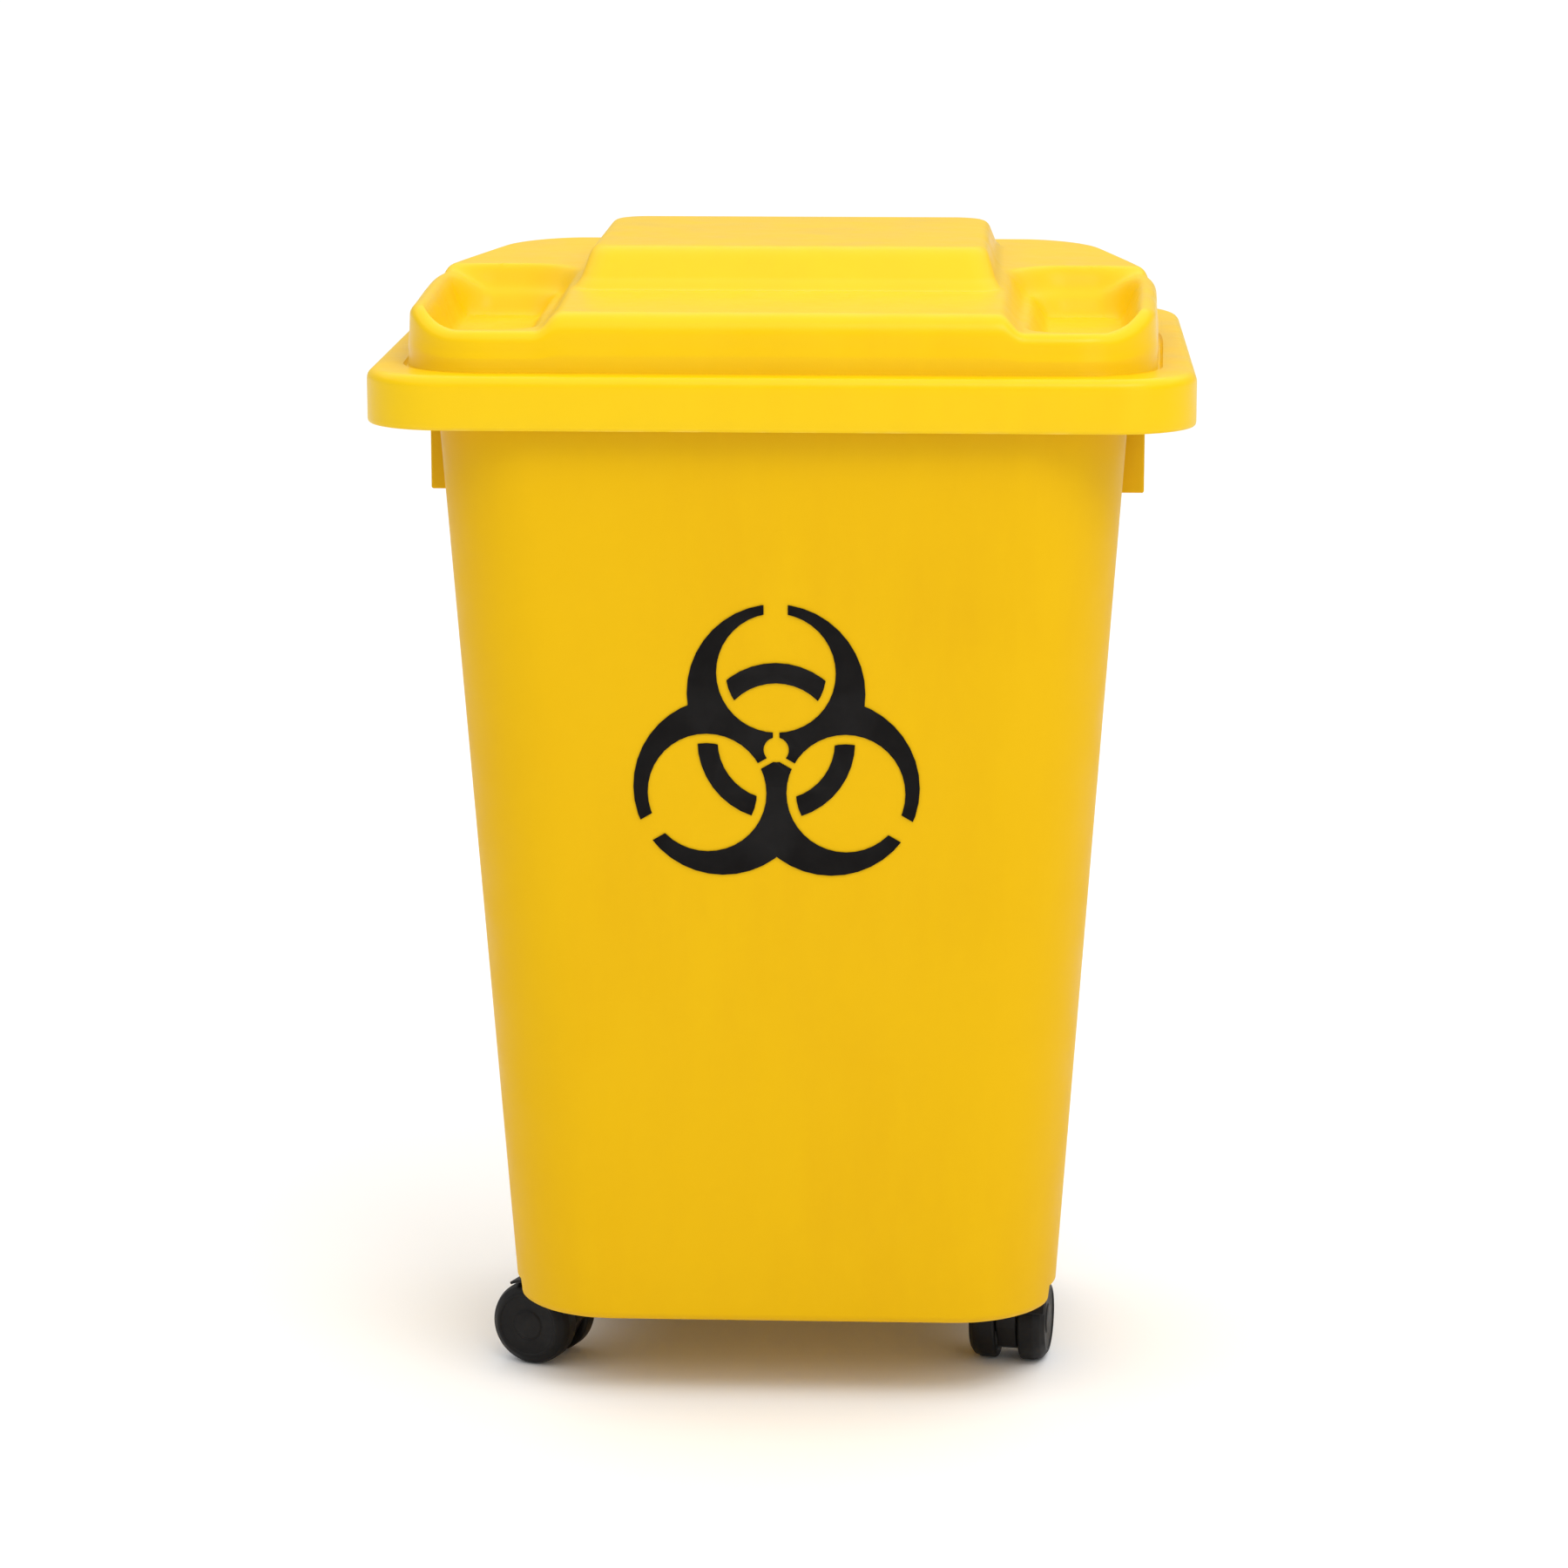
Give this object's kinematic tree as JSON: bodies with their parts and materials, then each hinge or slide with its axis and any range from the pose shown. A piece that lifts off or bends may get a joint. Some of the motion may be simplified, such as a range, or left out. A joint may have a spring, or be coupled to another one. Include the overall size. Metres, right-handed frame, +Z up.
{
  "type": "hinged-lid waste bin",
  "caption": "Tapered plastic waste bin with a hinged lid, a black biological hazard trefoil and small twin-wheel swivel casters.",
  "frame": {"origin": "middle of the footprint on the floor, halfway between the lid skirt's front and the hinge knuckles' back", "axes": "+Z up, the front with the trefoil faces -Y, +X to the right of someone looking at the front"},
  "size_m": [0.46, 0.41, 0.664],
  "materials": {
    "tub_plastic": "moulded polyethylene, deep yellow, faint satin grain",
    "lid_plastic": "moulded polyethylene, yellow, satin to semi-gloss",
    "pin_plastic": "black nylon, satin",
    "black_film": "cut black film, satin",
    "socket_nylon": "natural nylon",
    "zinc_steel": "bright zinc plate",
    "caster_nylon": "black nylon, fine texture",
    "wheel_plastic": "black polyolefin tread, scuffed satin"
  },
  "bodies": {
    "tub": {"tub": "tub_plastic", "hinge_pin_left": "pin_plastic", "hinge_pin_cap_left": "pin_plastic", "hinge_pin_right": "pin_plastic", "hinge_pin_cap_right": "pin_plastic", "trefoil_arm_upper_left": "black_film", "trefoil_arm_lower": "black_film", "trefoil_arm_upper_right": "black_film", "trefoil_arc_top": "black_film", "trefoil_arc_left": "black_film", "trefoil_arc_right": "black_film", "caster_sleeve_front_left": "socket_nylon", "caster_stem_front_left": "zinc_steel", "caster_sleeve_front_right": "socket_nylon", "caster_stem_front_right": "zinc_steel", "caster_sleeve_rear_left": "socket_nylon", "caster_stem_rear_left": "zinc_steel", "caster_sleeve_rear_right": "socket_nylon", "caster_stem_rear_right": "zinc_steel"},
    "lid": {"lid": "lid_plastic"},
    "swivel_front_left": {"caster_hood_front_left": "caster_nylon", "caster_axle_front_left": "zinc_steel"},
    "wheel_a_front_left": {"caster_wheel_a_front_left": "wheel_plastic"},
    "wheel_b_front_left": {"caster_wheel_b_front_left": "wheel_plastic"},
    "swivel_front_right": {"caster_hood_front_right": "caster_nylon", "caster_axle_front_right": "zinc_steel"},
    "wheel_a_front_right": {"caster_wheel_a_front_right": "wheel_plastic"},
    "wheel_b_front_right": {"caster_wheel_b_front_right": "wheel_plastic"},
    "swivel_rear_left": {"caster_hood_rear_left": "caster_nylon", "caster_axle_rear_left": "zinc_steel"},
    "wheel_a_rear_left": {"caster_wheel_a_rear_left": "wheel_plastic"},
    "wheel_b_rear_left": {"caster_wheel_b_rear_left": "wheel_plastic"},
    "swivel_rear_right": {"caster_hood_rear_right": "caster_nylon", "caster_axle_rear_right": "zinc_steel"},
    "wheel_a_rear_right": {"caster_wheel_a_rear_right": "wheel_plastic"},
    "wheel_b_rear_right": {"caster_wheel_b_rear_right": "wheel_plastic"}
  },
  "joints": [
    {"name": "lid_hinge", "type": "hinge", "parent": "tub", "child": "lid", "pos_m": [0, 0.1935, 0.573], "axis": [-1, 0, 0], "range_deg": [0, 105]},
    {"name": "caster_swivel_front_left", "type": "hinge", "parent": "tub", "child": "swivel_front_left", "pos_m": [-0.131, -0.07, 0.05], "axis": [0, 0, 1], "continuous": true},
    {"name": "wheel_spin_a_front_left", "type": "hinge", "parent": "swivel_front_left", "child": "wheel_a_front_left", "pos_m": [-0.14583, -0.06401, 0.025], "axis": [0.3746, 0.9272, 0], "continuous": true},
    {"name": "wheel_spin_b_front_left", "type": "hinge", "parent": "swivel_front_left", "child": "wheel_b_front_left", "pos_m": [-0.14583, -0.06401, 0.025], "axis": [0.3746, 0.9272, 0], "continuous": true},
    {"name": "caster_swivel_front_right", "type": "hinge", "parent": "tub", "child": "swivel_front_right", "pos_m": [0.131, -0.07, 0.05], "axis": [0, 0, 1], "continuous": true},
    {"name": "wheel_spin_a_front_right", "type": "hinge", "parent": "swivel_front_right", "child": "wheel_a_front_right", "pos_m": [0.1335, -0.0542, 0.025], "axis": [0.9877, -0.1564, 0], "continuous": true},
    {"name": "wheel_spin_b_front_right", "type": "hinge", "parent": "swivel_front_right", "child": "wheel_b_front_right", "pos_m": [0.1335, -0.0542, 0.025], "axis": [0.9877, -0.1564, 0], "continuous": true},
    {"name": "caster_swivel_rear_left", "type": "hinge", "parent": "tub", "child": "swivel_rear_left", "pos_m": [-0.131, 0.051, 0.05], "axis": [0, 0, 1], "continuous": true},
    {"name": "wheel_spin_a_rear_left", "type": "hinge", "parent": "swivel_rear_left", "child": "wheel_a_rear_left", "pos_m": [-0.11687, 0.04349, 0.025], "axis": [-0.4695, -0.8829, 0], "continuous": true},
    {"name": "wheel_spin_b_rear_left", "type": "hinge", "parent": "swivel_rear_left", "child": "wheel_b_rear_left", "pos_m": [-0.11687, 0.04349, 0.025], "axis": [-0.4695, -0.8829, 0], "continuous": true},
    {"name": "caster_swivel_rear_right", "type": "hinge", "parent": "tub", "child": "swivel_rear_right", "pos_m": [0.131, 0.051, 0.05], "axis": [0, 0, 1], "continuous": true},
    {"name": "wheel_spin_a_rear_right", "type": "hinge", "parent": "swivel_rear_right", "child": "wheel_a_rear_right", "pos_m": [0.11638, 0.04449, 0.025], "axis": [-0.4067, 0.9135, 0], "continuous": true},
    {"name": "wheel_spin_b_rear_right", "type": "hinge", "parent": "swivel_rear_right", "child": "wheel_b_rear_right", "pos_m": [0.11638, 0.04449, 0.025], "axis": [-0.4067, 0.9135, 0], "continuous": true}
  ]
}
